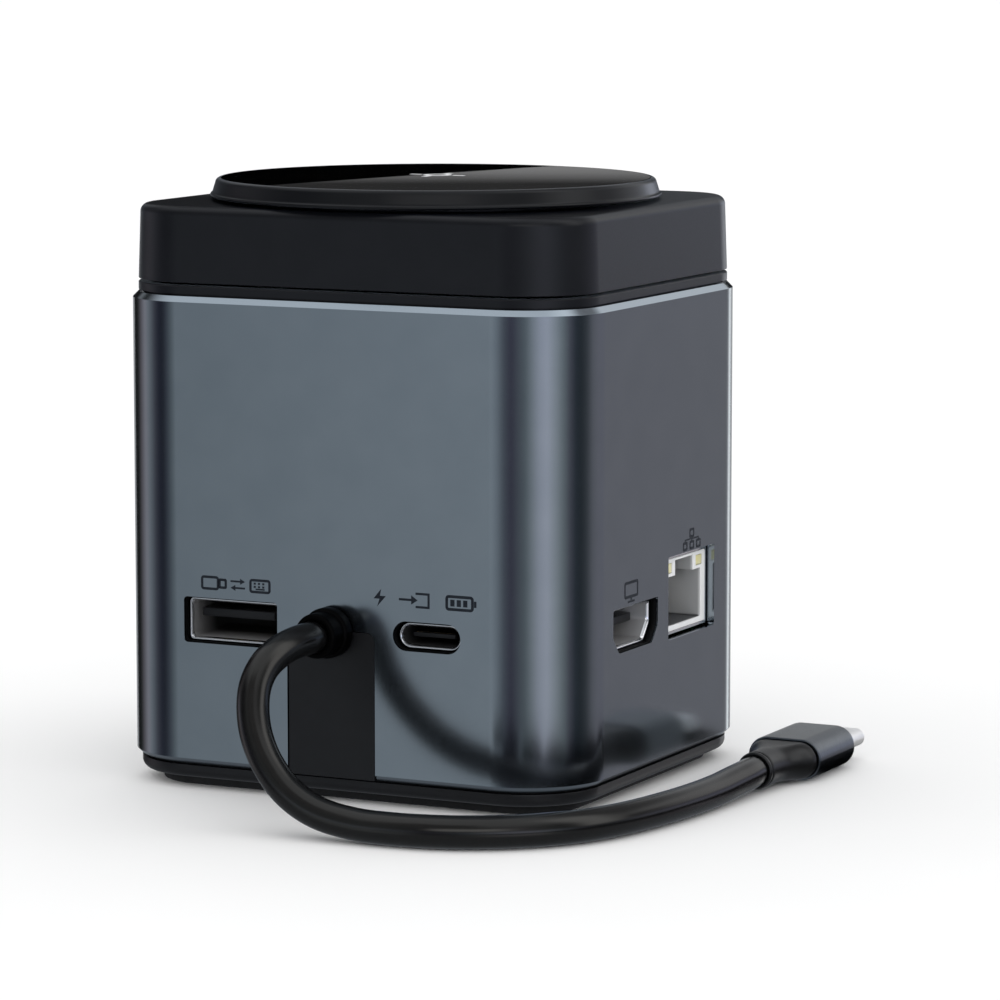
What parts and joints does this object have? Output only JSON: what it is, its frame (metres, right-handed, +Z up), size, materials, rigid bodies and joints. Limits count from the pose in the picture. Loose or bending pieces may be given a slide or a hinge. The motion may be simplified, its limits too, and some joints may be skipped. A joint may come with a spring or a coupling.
{
  "type": "laptop docking station",
  "caption": "Tower-shaped docking station with side sockets, a captive host cable and a flip-up round wireless charging pad.",
  "frame": {"origin": "centre of the underside of the rubber foot, measured without the cable and its plug", "axes": "+Z up; -Y the face with the cable, +X the face with the display and network sockets; the pad's hinge is at +Y, the user's side"},
  "size_m": [0.0934, 0.0917, 0.087],
  "materials": {
    "anodised_aluminium": "fine bead-blasted, blue-grey anodised, bright cut chamfers",
    "plug_metal": "satin grey anodised",
    "cap_plastic": "satin black",
    "pad_plastic": "satin black",
    "black_plastic": "fine matt black",
    "frame_plastic": "moulded dark grey",
    "jack_plastic": "moulded light grey",
    "lamp": "clear yellowish light pipe",
    "black_glass": "polished black cover glass",
    "rubber_foot": "matt black",
    "cable_jacket": "satin black elastomer",
    "thermal_gap_pad": "soft grey-blue",
    "bright_steel": "nickel plated",
    "plain_steel": "zinc plated",
    "black_steel": "black oxide",
    "bronze": "bearing bronze",
    "copper": "lacquered copper and gold-plated contacts",
    "circuit_board": "green solder mask",
    "ferrite": "dull dark grey"
  },
  "bodies": {
    "dock": {"foot_pad": "rubber_foot", "base_plate": "black_plastic", "ballast_plate": "plain_steel", "base_screw_1": "black_steel", "base_screw_2": "black_steel", "base_screw_3": "black_steel", "base_screw_4": "black_steel", "chassis_cage": "frame_plastic", "aluminium_sleeve": "anodised_aluminium", "slot_cover": "black_plastic", "main_board": "circuit_board", "hub_chip": "black_plastic", "thermal_pad": "thermal_gap_pad", "power_inductor_1": "ferrite", "power_inductor_2": "ferrite", "heat_spreader": "anodised_aluminium", "charger_board": "circuit_board", "charger_chip": "black_plastic", "charger_inductor": "ferrite", "usb_a_shell": "bright_steel", "usb_a_tongue": "black_plastic", "usb_c_shell": "bright_steel", "usb_c_tongue": "black_plastic", "hdmi_shell": "bright_steel", "hdmi_tongue": "black_plastic", "rj45_shield": "bright_steel", "rj45_housing": "jack_plastic", "rj45_contacts": "copper", "rj45_lamp_left": "lamp", "rj45_lamp_right": "lamp", "top_frame": "cap_plastic", "frame_screw_1": "black_steel", "frame_screw_2": "black_steel", "frame_screw_3": "black_steel", "frame_screw_4": "black_steel", "top_cap": "cap_plastic", "pad_well": "plain_steel", "hinge_bracket": "black_steel", "bracket_screw_1": "black_steel", "bracket_screw_2": "black_steel", "hinge_pin": "bright_steel", "friction_washer_left": "bronze", "friction_washer_right": "bronze", "cable_gland": "cable_jacket", "host_cable": "cable_jacket", "plug_overmould": "cable_jacket", "plug_housing": "plug_metal", "plug_tip": "bright_steel"},
    "pad": {"pad_rim": "pad_plastic", "pad_glass": "black_glass", "pad_back": "pad_plastic", "pad_screw_1": "black_steel", "pad_screw_2": "black_steel", "pad_screw_3": "black_steel", "coil_board": "circuit_board", "ferrite_sheet": "ferrite", "charging_coil": "copper", "magnet_ring": "bright_steel"}
  },
  "joints": [
    {"name": "pad_tilt", "type": "hinge", "parent": "dock", "child": "pad", "pos_m": [0, 0.0305, 0.0823], "axis": [-1, 0, 0], "range_deg": [0, 70]}
  ]
}
